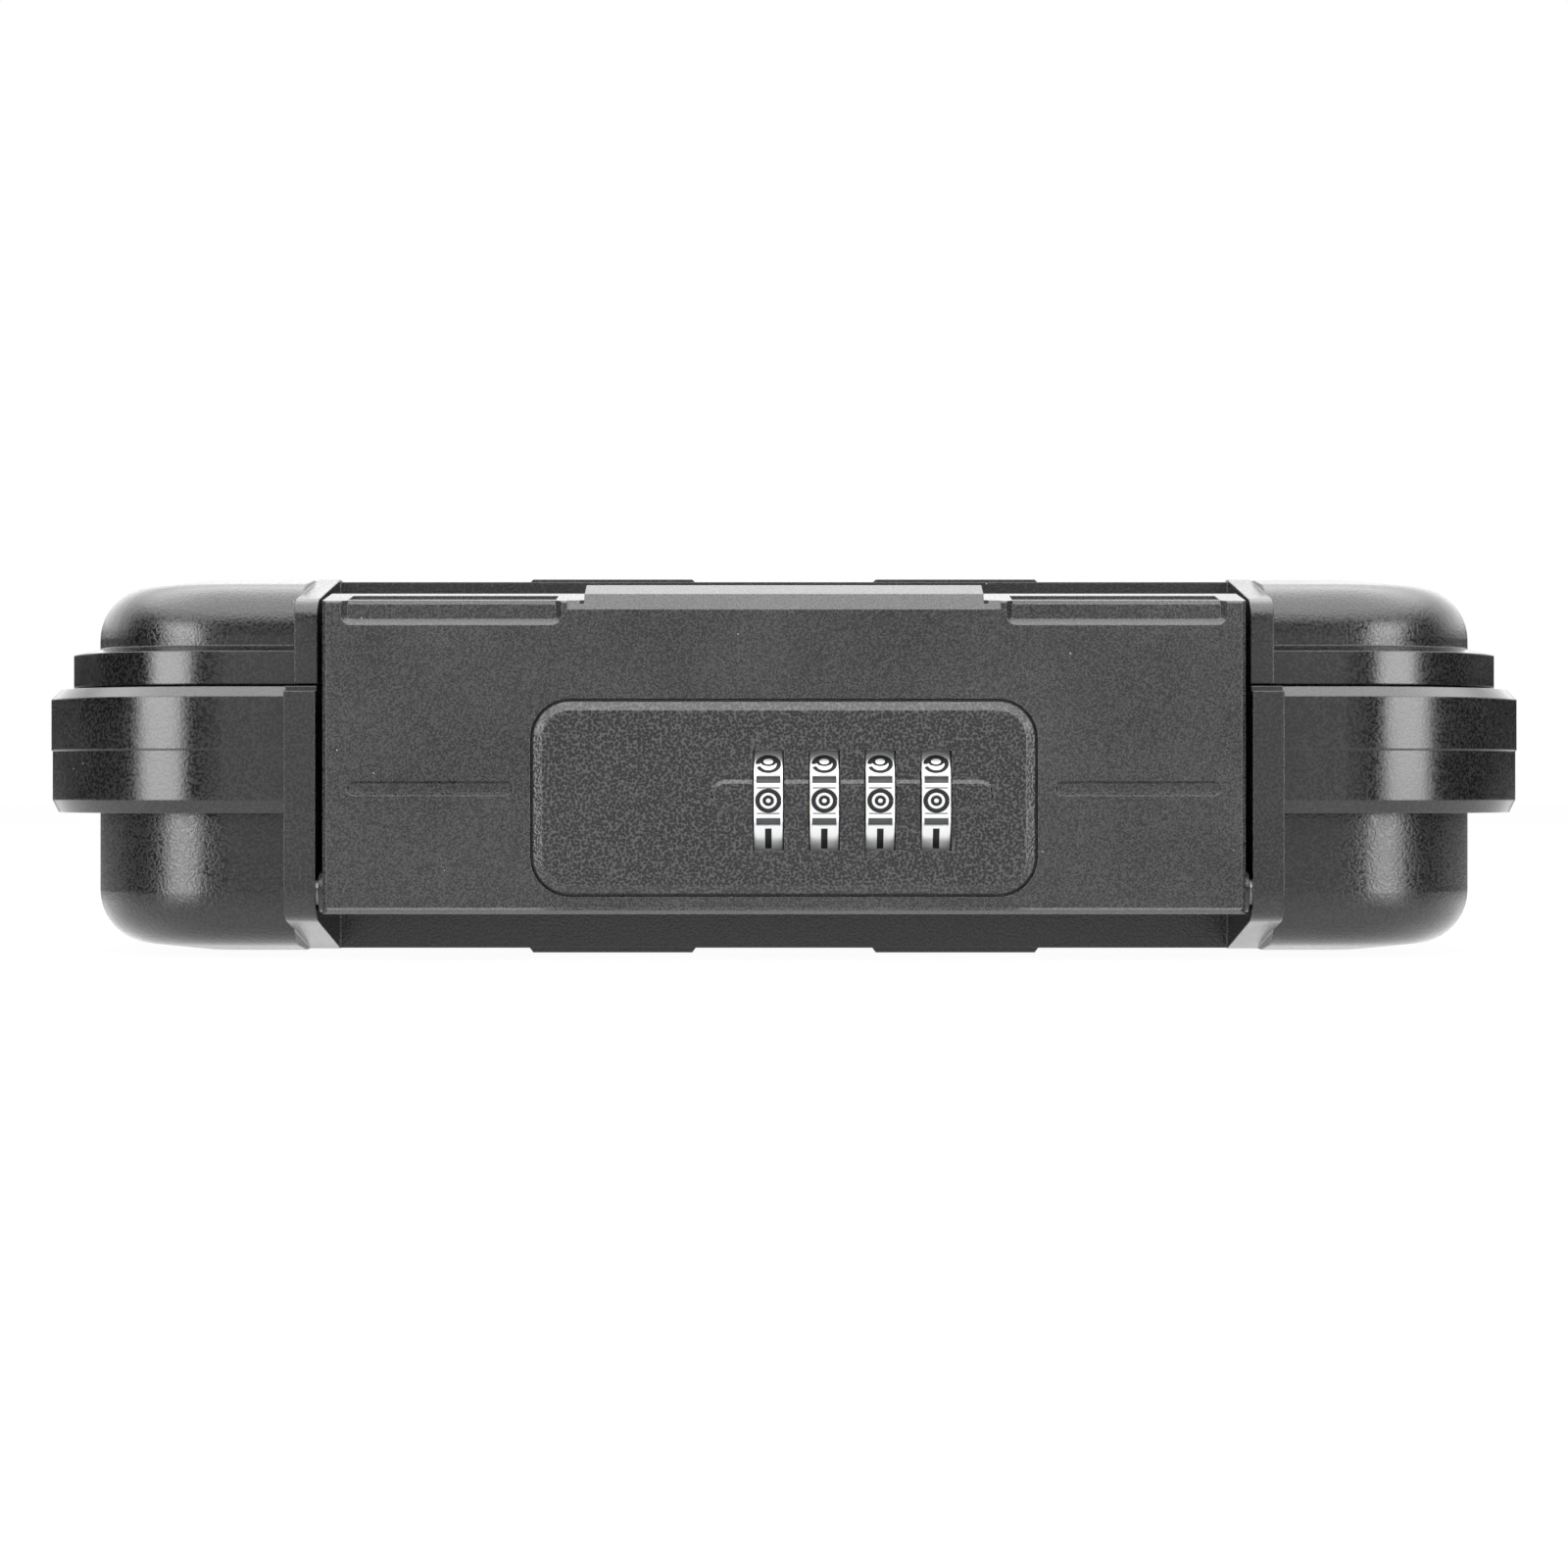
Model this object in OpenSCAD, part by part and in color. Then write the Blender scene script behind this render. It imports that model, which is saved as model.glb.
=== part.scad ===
// Rugged plastic lock box: a base and a hinged lid, closed by one wide front latch
// that carries a four-dial combination lock. Front faces -Y, +X is to the right.
// Depths along Y are given from the front face of the latch plate, by at().

/* [Case] */
// Width over the base rim
case_w = 238; // [220:1:260]
// Depth from the lock face to the hinge barrels
case_d = 180; // [165:1:210]
// Height from the lower pads to the upper pads
case_h = 61; // [58:1:72]
// Height of the seam above the ground
seam_z = 42.7; // [41:0.1:44]
// Gap between base rim and lid flange
seam_gap = 0.36; // [0.2:0.02:0.6]
// Corner radius of the rim, seen from above
corner_r = 32; // [30:1:40]
// Wall and floor thickness of both shells
wall = 3; // [2.4:0.1:3.6]
// Thickness of the pads that stand proud of the lid, and slope at the sides of all pads
pad_h = 0.6; // [0.4:0.1:1.2]
// Height of the lower pads that the box stands on
foot_h = 0.8; // [0.7:0.1:1.2]

/* [Rim and flange] */
// How far the shell bodies stand inside the rim
body_in = 7.8; // [7:0.1:9]
// How far the lid flange stands inside the rim
flange_in = 3.6; // [2.5:0.1:4]
// Height of the base rim band
rim_h = 19.7; // [16:0.1:21]
// Height of the lid flange band
flange_h = 5.2; // [4.5:0.1:6]
// Rise of the flange's sloping top
flange_rise = 1.0; // [0.5:0.1:1.5]
// Wall of the rim's hanging skirt
rim_skirt = 2.4; // [2:0.1:3]
// Thickness of the sealing deck
deck_t = 4; // [3:0.1:5]
// Width of the sealing deck, in from the rim
deck_in = 12; // [11.5:0.1:13]
// Chamfer along the rim's upper edge
rim_top_cut = 1.6; // [1:0.1:2.5]
// Height of the chamfer along the rim's lower edge
rim_foot_cut = 2; // [1:0.1:3]
// Height of the rim's moulding step below the seam
step_drop = 9.8; // [8:0.1:12]
// Depth of the moulding step
step_in = 0.2; // [0.1:0.05:0.4]

/* [Edges of the shells] */
// Radius that rounds the top and bottom edges
edge_r = 8.6; // [8:0.1:10]
// Width of the gentle slope inside that radius
edge_run = 17; // [14:0.5:19]
// Angle of the gentle slope
edge_angle = 6.4; // [4:0.1:8]

/* [Latch bay] */
// Clear width between the cheeks
bay_w = 144.4; // [138:0.2:148]
// Depth of the bay behind the latch plate
bay_d = 34; // [33.5:0.1:40]
// Thickness of each cheek of the base
cheek_t = 4.9; // [4:0.1:5.4]
// Thickness of each cheek of the lid
lid_cheek_t = 3.6; // [3.2:0.1:4]
// Setback of the base cheek's front edge
base_cheek_y = 2; // [1.4:0.1:3]
// Setback of the lid cheek's front edge
lid_cheek_y = 4.7; // [3:0.1:6]
// Radius where the base cheek turns into its ramp
base_cheek_r = 4.8; // [4:0.1:7]
// Angle of the base cheek's long ramp
base_cheek_angle = 10.8; // [8:0.1:11]
// Radius where the lid cheek turns into its ramp
lid_cheek_r = 3.6; // [3:0.1:5]
// Angle of the lid cheek's long ramp
lid_cheek_angle = 9.5; // [8:0.1:10]
// Gap between the two cheeks at the seam
cheek_gap = 1.2; // [0.8:0.1:2]
// How far the lid cheek stands above the lid top
cheek_proud = 0.4; // [0.2:0.1:0.6]
// Height of the shallow belly recess under the base
belly_h = 0.1; // [0.1:0.1:0.6]
// Setback of the rim behind the latch plate
rim_setback = 4; // [3:0.1:5]

/* [Pads and rear hinge] */
// Middle of each pad, left and right of the centre
pad_x = 28; // [24:1:40]
// Width of each pad
pad_w = 26; // [20:1:30]
// Distance of each hinge from the end of the case
hinge_in = 57; // [48:1:64]
// Width of the lid's knuckle
lid_knuckle_w = 22; // [16:1:28]
// Width of each base knuckle
base_knuckle_w = 8; // [6:0.5:10]
// Radius of the knuckles
knuckle_r = 4; // [3.6:0.1:4.6]
// Gap between rim back and hinge axis
knuckle_back = 2.5; // [2:0.1:3]
// Radius of the hinge pin
hinge_pin_r = 1.8; // [1.4:0.1:2.2]
// Gap between knuckles, side by side
knuckle_gap = 0.4; // [0.3:0.1:0.8]

/* [Seal and liners] */
// Width of the lid's sealing ring
gasket_w = 2; // [1.6:0.1:2.2]
// Depth of the groove that holds the ring
gasket_groove = 1.4; // [1:0.1:2]
// How far the ring's path lies inside the rim
gasket_in = 8.3; // [8:0.1:8.6]
// Thickness of the foam liners
liner_t = 5; // [3:0.5:8]
// Gap round the foam liners
liner_gap = 0.4; // [0.3:0.1:1]

/* [Latch] */
// Gap between latch and cheek, each side
latch_gap = 1.3; // [1:0.1:1.6]
// Height of the latch's lower edge above the base's underside
latch_lift = 6.75; // [6.3:0.05:7.3]
// Distance of the latch's shoulder below the lid top
latch_drop = 3; // [2.8:0.1:4.5]
// Depth of the cover's skirt behind the plate
latch_t = 28; // [27.6:0.1:28.6]
// Thickness of the front plate
plate_t = 2.6; // [2.2:0.1:3]
// Thickness of the skirt walls
skirt_t = 2.4; // [2:0.1:2.8]
// Thickness of the rear cover
back_t = 2.2; // [1.8:0.1:2.6]
// Edge chamfer of the latch
latch_cut = 0.6; // [0.4:0.1:0.9]
// How far the lip along the lower edge stands out
lip_proud = 0.4; // [0.2:0.05:0.6]
// Chamfer where the plate meets the shoulder
brow_cut = 0.3; // [0.2:0.1:0.6]
// Depth of the sloping shoulder along the latch's top
shoulder_d = 12.6; // [8:0.1:16]
// Angle of the shoulder
shoulder_angle = 8; // [5:0.5:9]
// Width of the raised tab
tab_w = 61.4; // [50:0.2:70]
// Height of the tab above the shoulder
tab_rise = 1.1; // [0.8:0.1:2]
// Drop of the tab's front chamfer below the shoulder's front edge
tab_drop = 1.3; // [1:0.1:1.8]
// Height of that chamfer
tab_lip = 2.5; // [2:0.1:3]
// Depth of that chamfer
tab_lip_d = 1.9; // [1.5:0.1:2.2]
// Gap between the tab's nose and the lid
tab_gap = 0.5; // [0.3:0.1:1]
// Setback of the latch's pivot behind the plate
pivot_d = 6; // [5.8:0.1:6.4]
// Height of the pivot above the latch's lower edge
pivot_up = 3.3; // [3.25:0.05:3.8]
// Radius of the pivot pins
pivot_r = 2; // [1.6:0.1:2.2]
// Radius of the pivot bosses
pivot_boss_r = 3.2; // [3:0.05:3.2]
// Length of a pivot boss, in from the latch's side
pivot_boss_w = 11; // [9:0.5:12]
// Travel of the latch, in degrees
latch_open = 92; // [85:1:92]

/* [Grips and beads] */
// Middle of each grip pocket
grip_x = 51.1; // [48:0.1:53]
// Width of a grip pocket
grip_w = 34; // [28:0.5:35]
// Depth of a grip pocket below the shoulder's front edge
grip_h = 3.7; // [3:0.1:4.5]
// Corner radius of a grip pocket
grip_r = 1.6; // [1.2:0.1:2.4]
// Setback of a grip pocket's floor
grip_d = 1; // [0.6:0.1:1.2]
// Width of the pocket's sloping border
grip_border = 1; // [0.5:0.1:1.2]
// Chamfer along the top of the pocket's floor
grip_brow = 0.5; // [0.4:0.1:1]
// Thickness of the lip between a grip pocket and the finger recess behind it
pull_lip = 1.2; // [1:0.1:2]
// Depth of that recess, front to back
pull_d = 6.5; // [5:0.5:8]
// Depth of its floor below the shoulder's front edge
pull_drop = 0.1; // [0:0.1:0.3]
// Middle of each long bead
bead_x = 54.4; // [52:0.1:55]
// Length of a bead between its end centres
bead_l = 23.2; // [18:0.2:25]
// Half height of a bead
bead_r = 1.2; // [0.8:0.1:1.5]
// Depth of a bead
bead_d = 0.5; // [0.2:0.05:0.6]
// Width of the slope round a bead's floor
bead_bevel = 0.5; // [0.3:0.1:0.8]
// Height of the beads above the dial axis
bead_up = 1.9; // [1:0.1:3]

/* [Lock face] */
// Width of the lock face
face_w = 77; // [75:0.2:79]
// Height of the lock face
face_h = 29.5; // [28.5:0.1:30.5]
// Corner radius of the lock face
face_r = 5.7; // [4:0.1:7]
// How far the face stands proud of the plate
face_proud = 0.8; // [0.5:0.1:1]
// How deep the face sits in the plate
face_seat = 2; // [1.6:0.1:2.2]
// Width of the bevel round the face
face_bevel = 1.4; // [1:0.1:2]
// Dark gap round the face
face_gap = 0.45; // [0.2:0.05:0.6]
// Backing behind the face
backing_t = 2.4; // [2:0.1:2.6]
// Height of the face's middle above the dial axis
face_up = 0.45; // [0:0.05:0.8]
// Length of the raised index ridge
ridge_w = 43.6; // [42:0.2:46]
// Height of the index ridge
ridge_h = 5; // [4:0.1:6]
// How far the index ridge stands proud
ridge_proud = 0.5; // [0.3:0.05:0.6]
// Width of the bevel round the ridge
ridge_bevel = 0.6; // [0.4:0.1:1]
// Height of the ridge's middle above the dial axis
ridge_up = 0.7; // [0:0.1:1]

/* [Dials] */
// Number of dials
dial_n = 4; // [4]
// Middle of the first dial
dial_x0 = -2.4; // [-4:0.1:-2]
// Spacing of the dials
dial_pitch = 8.57; // [8.5:0.01:8.8]
// Height of the dial axis above the latch's lower edge
dial_up = 17.45; // [17:0.05:18]
// Distance from the axis to a facet
dial_r = 10.2; // [9.8:0.1:10.3]
// How far the front facets stand out of the lock face
dial_proud = 1.2; // [0.9:0.1:1.3]
// Width of a dial
dial_w = 4.4; // [4.2:0.05:4.5]
// Width of the pockets between facets
groove_w = 1.2; // [0.8:0.1:1.4]
// Depth of those pockets
groove_d = 0.8; // [0.5:0.1:1]
// Rim that closes a pocket at each side
groove_rim = 0.35; // [0.25:0.05:0.5]
// Side clearance of a dial in its window
window_gap = 0.17; // [0.1:0.01:0.2]
// Height of a window
window_h = 15.4; // [15.3:0.1:16.4]
// Depth of a window's straight part, before it widens to the rear
window_lip = 1.3; // [1:0.1:1.4]

/* [Dial hubs and shaft] */
// Radius of the shaft
shaft_r = 2; // [1.6:0.1:2.2]
// Radius of a hub's sleeve
sleeve_r = 4.4; // [4:0.1:4.6]
// Radius of a hub's gate disc
gate_r = 7; // [6.6:0.1:7.1]
// Thickness of a gate disc
gate_t = 0.8; // [0.7:0.05:0.85]
// How far a fin reaches into a gate
gate_bite = 1.3; // [1:0.1:1.5]
// Gap between a fin and a gate disc
fin_gap = 0.3; // [0.25:0.01:0.32]
// Thickness of a fin on the lock bar
fin_t = 0.8; // [0.7:0.05:0.85]
// Height of a fin
fin_h = 1.2; // [1:0.1:1.4]

/* [Chassis] */
// Thickness of the chassis's side cheeks
chassis_side_t = 2.2; // [1.8:0.1:2.6]
// Thickness of its top and bottom
chassis_t = 1.8; // [1.4:0.1:2.2]
// Half height of its inside
chassis_half = 11.7; // [11.5:0.1:12]
// Depth of its rear edge
chassis_d = 24.2; // [23:0.1:24.2]
// Depth of its mounting ears
ear_d = 8; // [7:0.1:9]
// Length of its mounting ears
ear_w = 7; // [6.5:0.1:7.5]
// Height of its screws above and below the axis
ear_screw_z = 8; // [7:0.1:9]
// Thickness of the detent comb
comb_t = 0.4; // [0.3:0.05:0.5]

/* [Lock bar and keeper] */
// Depth of the lock bar's front
bar_d = 24.5; // [24.5:0.05:24.7]
// Thickness of the lock bar
bar_t = 2; // [1.6:0.1:2]
// Middle of each keeper lug
keeper_x = 44; // [42:0.1:45]
// Thickness of the keeper's steel
keeper_t = 1.6; // [1.2:0.1:1.8]
// Front edge of the keeper lugs
keeper_d = 22; // [21.5:0.1:22.5]
// Height of the middle of the lug's hole above the seam
bolt_up = 2.8; // [2.6:0.1:3]
// Height of a bolt on the lock bar
bolt_h = 3; // [2.6:0.1:3.4]
// Clearance of a bolt in its hole
bolt_gap = 0.5; // [0.4:0.05:0.6]
// Clearance between bolt tip and lug when unlocked
bolt_free = 0.4; // [0.3:0.05:0.6]
// Clearance between a lug and the rear cover's slot
slot_gap = 0.5; // [0.4:0.05:0.8]

/* [Code button] */
// Middle of the code-change button
button_x = -21; // [-24:0.1:-20.6]
// Height of the button below the dial axis
button_down = 8.5; // [8.2:0.1:9]
// Radius of the button's stem
button_r = 2.4; // [2:0.1:2.6]
// Radius of its collar
collar_r = 3.8; // [3.4:0.1:3.9]
// Travel of the button
button_travel = 1.5; // [1:0.1:2]
// How far the button stands out behind the rear cover
button_proud = 0.7; // [0.4:0.1:1]

/* [Hidden] */
$fn = 64;

charcoal = "#3d3e40";
dark = "#2c2d2f";
steel = "#b9bcc0";
brass = "#b08d4a";
chrome = "#d9dbde";
rubber = "#1c1c1d";
foam = "#303134";

// Small working values
over = 1;                  // overshoot of a cut past a face
press = 0.02;              // radial room of a fixed pin
running = 0.06;            // radial room of a turning pin
touch = 0.1;               // sink of one piece of a solid into its neighbour

// Places along Y
plate_y = -case_d/2 + face_proud + dial_proud;
function at(depth) = plate_y + depth;
hinge_x = case_w/2 - hinge_in;
hinge_y = case_d/2 - knuckle_r;
rim_front = at(rim_setback);
rim_back = hinge_y - knuckle_back;
rim_d = rim_back - rim_front;
rim_mid = (rim_back + rim_front)/2;
wall_y = at(bay_d);
seal_wall = 5;             // thickness of the bay wall at the sealing deck

// Places along Z
base_z = foot_h;
lid_z = seam_z + seam_gap;
lid_top = case_h - pad_h;
rim_z = seam_z - rim_h;
flange_z = lid_z + flange_h;
hinge_z = seam_z + seam_gap/2;
latch_z = base_z + latch_lift;
shoulder_z = lid_top - latch_drop;
face_edge_z = shoulder_z - shoulder_d*tan(shoulder_angle);
roof_z = face_edge_z + latch_cut;
tab_z = shoulder_z + tab_rise;
tab_low = face_edge_z - tab_drop;
pivot_z = latch_z + pivot_up;
dial_z = latch_z + dial_up;
face_z = dial_z + face_up;

// Latch sizes
latch_w = bay_w - 2*latch_gap;
body_r = corner_r - body_in;
cover_back = latch_t + back_t;
tab_end = bay_d - tab_gap;
tab_margin = 2.6;
tab_groove = 0.4;
tab_ramp = 6;
tab_slit = 0.7;
dial_d = dial_r - face_proud - dial_proud;
dial_corner = dial_r/cos(18);
tip_r = sqrt(pow(dial_r, 2) + pow(dial_r*tan(18) - groove_w/2, 2));
gap_w = dial_pitch - dial_w;
gate_x = (dial_pitch - gate_t)/2;
bar_travel = fin_t + gate_t + 2*fin_gap;
clip_t = 0.6;
clip_rim = 1.6;
clip_r = shaft_r + clip_rim;
hub_left = dial_pitch - gate_x - gate_t - fin_gap;
chassis_left = dial_x0 - hub_left - fin_gap;
chassis_right = dial_x(dial_n) + gate_x + gate_t + 2*fin_gap + fin_t + fin_gap;
function dial_x(i) = dial_x0 + (i - 1)*dial_pitch;

// Screws
screw_r = 1.3;
screw_head_r = 2.5;
screw_head_t = 1.4;
back_screw_x = bay_w/2 - 14.2;
back_boss_r = 3.4;
back_screw_z = [latch_z + 11.5, roof_z - 7.7];
back_screw_l = 8;
back_screw_room = 1;
chassis_screw_l = 3.5;
chassis_screw_room = 0.5;
chassis_boss_r = 2.9;
ear_t = 2;
ear_inset = 4;
keeper_screw_x = [30, 50];
keeper_screw_down = 8;
keeper_screw_l = 1.4;

// Keeper and lock bar
bolt_z = seam_z + bolt_up;
hole_d = [bar_d - bolt_gap, bar_d + bar_t + bolt_gap];
lug_top = bolt_z + bolt_h/2 + bolt_gap + 1.6;
lug_foot = bolt_z - bolt_h/2 - bolt_gap - 1.6;
strip_h = 13;
strip_top = seam_z - 0.6;
beam_low = dial_z - 2.5;
beam_high = dial_z + 11;
bolt_l = 3.3;
arm_w = 4.8;
stud_r = 1.5;
stud_x = [-20, 38];
stud_z = dial_z + 4.5;
button_z = dial_z - button_down;
spring_r = 2.2;
spring_bore = 1.5;
spring_gap = 0.2;

// A block's corner eased by a radius and a gentle slope, as a section: x out, y up
module eased_cap(w, h, r, run, a) {
  zc = h - (r + (run - r)*sin(a))/cos(a);
  intersection() {
    union() {
      polygon([[0, 0], [w, 0], [w, zc], [w - r, zc], [w - r + r*sin(a), zc + r*cos(a)],
        [w - run, h], [0, h]]);
      translate([w - r, zc]) circle(r);
    }
    square([w, h]);
  }
}

// Carries a section round a rounded rectangle; x = 0 is the corner's centre
module round_sweep(w, d, r) {
  sx = w/2 - r;
  sy = d/2 - r;
  for (q = [0:3])
    translate([q == 0 || q == 3 ? sx : -sx, q < 2 ? sy : -sy, 0])
      rotate([0, 0, 90*q]) rotate_extrude(angle = 90) children();
  for (q = [0, 180]) rotate([0, 0, q]) {
    translate([sx, sy, 0]) rotate([90, 0, 0]) linear_extrude(2*sy) children();
    translate([-sx, sy, 0]) rotate([90, 0, 90]) linear_extrude(2*sx) children();
  }
}

// Fills the middle that round_sweep leaves open
module middle_slab(w, d, r, low, high) {
  translate([r - w/2, r - d/2, low]) cube([w - 2*r, d - 2*r, high - low]);
}

// A plate with rounded corners and a bevelled front edge, facing -Y
module bevelled_plate(w, h, r, t, bevel, rise) {
  rotate([90, 0, 0]) {
    round_sweep(w, h, r)
      polygon([[0, 0], [r, 0], [r, t - rise], [r - bevel, t], [0, t]]);
    middle_slab(w, h, r, 0, t);
  }
}

// A box from one corner to another
module span(low, high) {
  translate(low) cube(high - low);
}

// A rod along X from a to b
module rod_x(a, b, r, y, z) {
  translate([a, y, z]) rotate([0, 90, 0]) cylinder(h = b - a, r = r);
}

// A rod along Y between two depths
module rod_y(r, near, far, x, z) {
  translate([x, at(far), z]) rotate([90, 0, 0]) cylinder(h = far - near, r = r);
}

// A Y-Z outline carried along X, its middle at x
module slice_x(x, w) {
  translate([x, 0, 0]) rotate([90, 0, 90]) translate([0, 0, -w/2])
    linear_extrude(w) children();
}

module both_sides() {
  children();
  mirror([1, 0, 0]) children();
}

// The open space of the latch bay, its sides and back moved out by the margins
module bay_space(side, back, low, high) {
  span([-bay_w/2 - side, -case_d, low], [bay_w/2 + side, wall_y + back, high]);
}

// One cheek beside the latch, from its front edge back to the bay wall
module cheek(t, front, length, height, z, r, slope, up) {
  for (s = [-1, 1])
    translate([s*(bay_w + t)/2, at(front) + length, z])
      mirror([0, 0, up ? 0 : 1]) rotate([90, 0, -90]) translate([0, 0, -t/2])
        linear_extrude(t)
          eased_cap(length, height, r, length - wall, slope);
}

// Shells

module base_section() {
  difference() {
    translate([0, seam_z]) mirror([0, 1])
      eased_cap(body_r, seam_z - base_z, edge_r, edge_run, edge_angle);
    translate([0, seam_z + over]) mirror([0, 1])
      eased_cap(body_r - wall, seam_z + over - base_z - wall, edge_r - wall,
        edge_run - wall, edge_angle);
  }
  polygon([
    [corner_r - deck_in, seam_z - deck_t], [corner_r - deck_in, seam_z],
    [corner_r - rim_top_cut, seam_z], [corner_r, seam_z - rim_top_cut],
    [corner_r, seam_z - step_drop], [corner_r - step_in, seam_z - step_drop],
    [corner_r - step_in, rim_z + rim_foot_cut],
    [corner_r - step_in - rim_foot_cut/2, rim_z], [corner_r - rim_skirt, rim_z],
    [corner_r - rim_skirt, seam_z - deck_t]
  ]);
}

module lid_section() {
  difference() {
    translate([0, lid_z]) eased_cap(body_r, lid_top - lid_z, edge_r, edge_run, edge_angle);
    translate([0, lid_z - over])
      eased_cap(body_r - wall, lid_top + over - lid_z - wall, edge_r - wall,
        edge_run - wall, edge_angle);
  }
  polygon([
    [corner_r - deck_in, lid_z], [corner_r - flange_in, lid_z],
    [corner_r - flange_in, flange_z], [body_r, flange_z + flange_rise],
    [body_r - touch, flange_z + flange_rise], [corner_r - deck_in, flange_z]
  ]);
}

// The path of the sealing ring, w wide, between two heights
module seal_path(w, low, high) {
  side = (lid_cheek_t - w)/2;
  back = (wall - w)/2;
  outer = gasket_in + (gasket_w - w)/2;
  difference() {
    translate([0, rim_mid, 0]) round_sweep(case_w, rim_d, corner_r)
      translate([corner_r - outer - w, low]) square([w, high - low]);
    bay_space(side, 0, low - over, high + over);
  }
  both_sides()
    span([bay_w/2 + side, rim_front + outer, low],
      [bay_w/2 + side + w, wall_y + back + w, high]);
  span([-bay_w/2 - side - touch, wall_y + back, low],
    [bay_w/2 + side + touch, wall_y + back + w, high]);
}

// The wall behind the latch, thicker where the seal runs
module bay_wall(low, high, deck_low, deck_high) {
  half = bay_w/2 + cheek_t;
  span([-half, wall_y, low], [half, wall_y + wall, high]);
  span([-half, wall_y, deck_low], [half, wall_y + seal_wall, deck_high]);
}

// Three raised-edge pads, as an outline across X
module pad_pair(low, high, foot) {
  for (s = [-1, 1])
    translate([s*pad_x, rim_back - body_in - edge_run, 0]) rotate([90, 0, 0])
      linear_extrude(rim_back - body_in - edge_run - wall_y - wall)
        polygon([[-pad_w/2, foot], [pad_w/2, foot], [pad_w/2 + pad_h, low],
          [pad_w/2 + pad_h, high], [-pad_w/2 - pad_h, high], [-pad_w/2 - pad_h, low]]);
}

module hinge_outline(web) {
  translate([hinge_y, hinge_z]) circle(knuckle_r);
  polygon(web);
}

module base_knuckles() {
  web = [[rim_back - wall, seam_z], [hinge_y, hinge_z], [hinge_y + knuckle_r, hinge_z],
    [hinge_y + knuckle_r, hinge_z - wall], [rim_back, hinge_z - 3*wall],
    [rim_back - wall/2, hinge_z - 3*wall], [rim_back - wall/2, seam_z - deck_t]];
  shift = lid_knuckle_w/2 + knuckle_gap + base_knuckle_w/2;
  for (s = [-1, 1], t = [-1, 1])
    slice_x(s*hinge_x + t*shift, base_knuckle_w) hinge_outline(web);
}

module lid_knuckles() {
  flange_back = rim_back - flange_in;
  web = [[flange_back - wall/2, lid_z], [hinge_y - hinge_pin_r, lid_z], [hinge_y, hinge_z],
    [hinge_y, hinge_z + knuckle_r], [flange_back - wall/2, flange_z]];
  for (s = [-1, 1]) slice_x(s*hinge_x, lid_knuckle_w) hinge_outline(web);
}

module base_shell() color(charcoal) {
  keep_back = wall_y + wall;
  difference() {
    union() {
      difference() {
        translate([0, rim_mid, 0]) {
          round_sweep(case_w, rim_d, corner_r) base_section();
          middle_slab(case_w, rim_d, corner_r, base_z, base_z + wall);
        }
        bay_space(cheek_t - touch, 0, -over, case_h);
      }
      cheek(cheek_t, base_cheek_y, keep_back - at(base_cheek_y), seam_z - base_z, seam_z,
        base_cheek_r, base_cheek_angle, false);
      bay_wall(base_z, seam_z, seam_z - deck_t, seam_z);
      base_knuckles();
      for (s = [-1, 1], x = keeper_screw_x)
        rod_y(back_boss_r, bay_d + wall - touch, bay_d + 2*wall, s*x, strip_top - keeper_screw_down);
    }
    // Belly recess under the middle
    span([-bay_w/2, wall_y - over, -over],
      [bay_w/2, rim_back - body_in - edge_run, base_z + belly_h]);
    // Lower front part of the cheeks' seam
    bay_space(cheek_t + over, rim_setback - bay_d, seam_z + seam_gap - cheek_gap, case_h);
    // Room for the lid's knuckles
    for (s = [-1, 1])
      rod_x(s*hinge_x - lid_knuckle_w/2 - knuckle_gap, s*hinge_x + lid_knuckle_w/2 + knuckle_gap,
        knuckle_r + knuckle_gap, hinge_y, hinge_z);
    for (s = [-1, 1])
      rod_x(s*hinge_x - hinge_half - over, s*hinge_x + hinge_half + over, hinge_pin_r + press,
        hinge_y, hinge_z);
    // Pivot holes in the cheeks
    both_sides()
      rod_x(bay_w/2 - over, bay_w/2 + cheek_t + over, pivot_r + press, at(pivot_d), pivot_z);
    // Screw holes of the keeper
    for (s = [-1, 1], x = keeper_screw_x)
      rod_y(screw_r, bay_d - over, bay_d + wall + keeper_screw_l + touch, s*x, strip_top - keeper_screw_down);
  }
  pad_pair(base_z, base_z + belly_h + touch, 0);
}

module lid_shell() color(charcoal) {
  difference() {
    union() {
      difference() {
        translate([0, rim_mid, 0]) {
          round_sweep(case_w, rim_d, corner_r) lid_section();
          middle_slab(case_w, rim_d, corner_r, lid_top - wall, lid_top);
        }
        bay_space(lid_cheek_t - touch, 0, -over, case_h);
      }
      cheek(lid_cheek_t, lid_cheek_y, wall_y + wall - at(lid_cheek_y), lid_top + cheek_proud - lid_z,
        lid_z, lid_cheek_r, lid_cheek_angle, true);
      bay_wall(lid_z, lid_top, lid_z, flange_z);
      lid_knuckles();
    }
    seal_path(gasket_w, lid_z - over, lid_z + gasket_groove);
    for (s = [-1, 1])
      rod_x(s*hinge_x - hinge_half, s*hinge_x + hinge_half, hinge_pin_r + running,
        hinge_y, hinge_z);
  }
  translate([0, 0, case_h]) mirror([0, 0, 1]) pad_pair(pad_h, pad_h + touch, 0);
}

module lid_gasket() color(rubber)
  seal_path(gasket_w - 2*press, seam_z, lid_z + gasket_groove - press);

// Liners: foam sheets cut to the inside of each shell

module liner_section(w, t) {
  intersection() {
    eased_cap(w, edge_r + edge_run, edge_r - wall, edge_run - wall, edge_angle);
    translate([0, edge_r + edge_run - t]) square([w, t]);
  }
}

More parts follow.
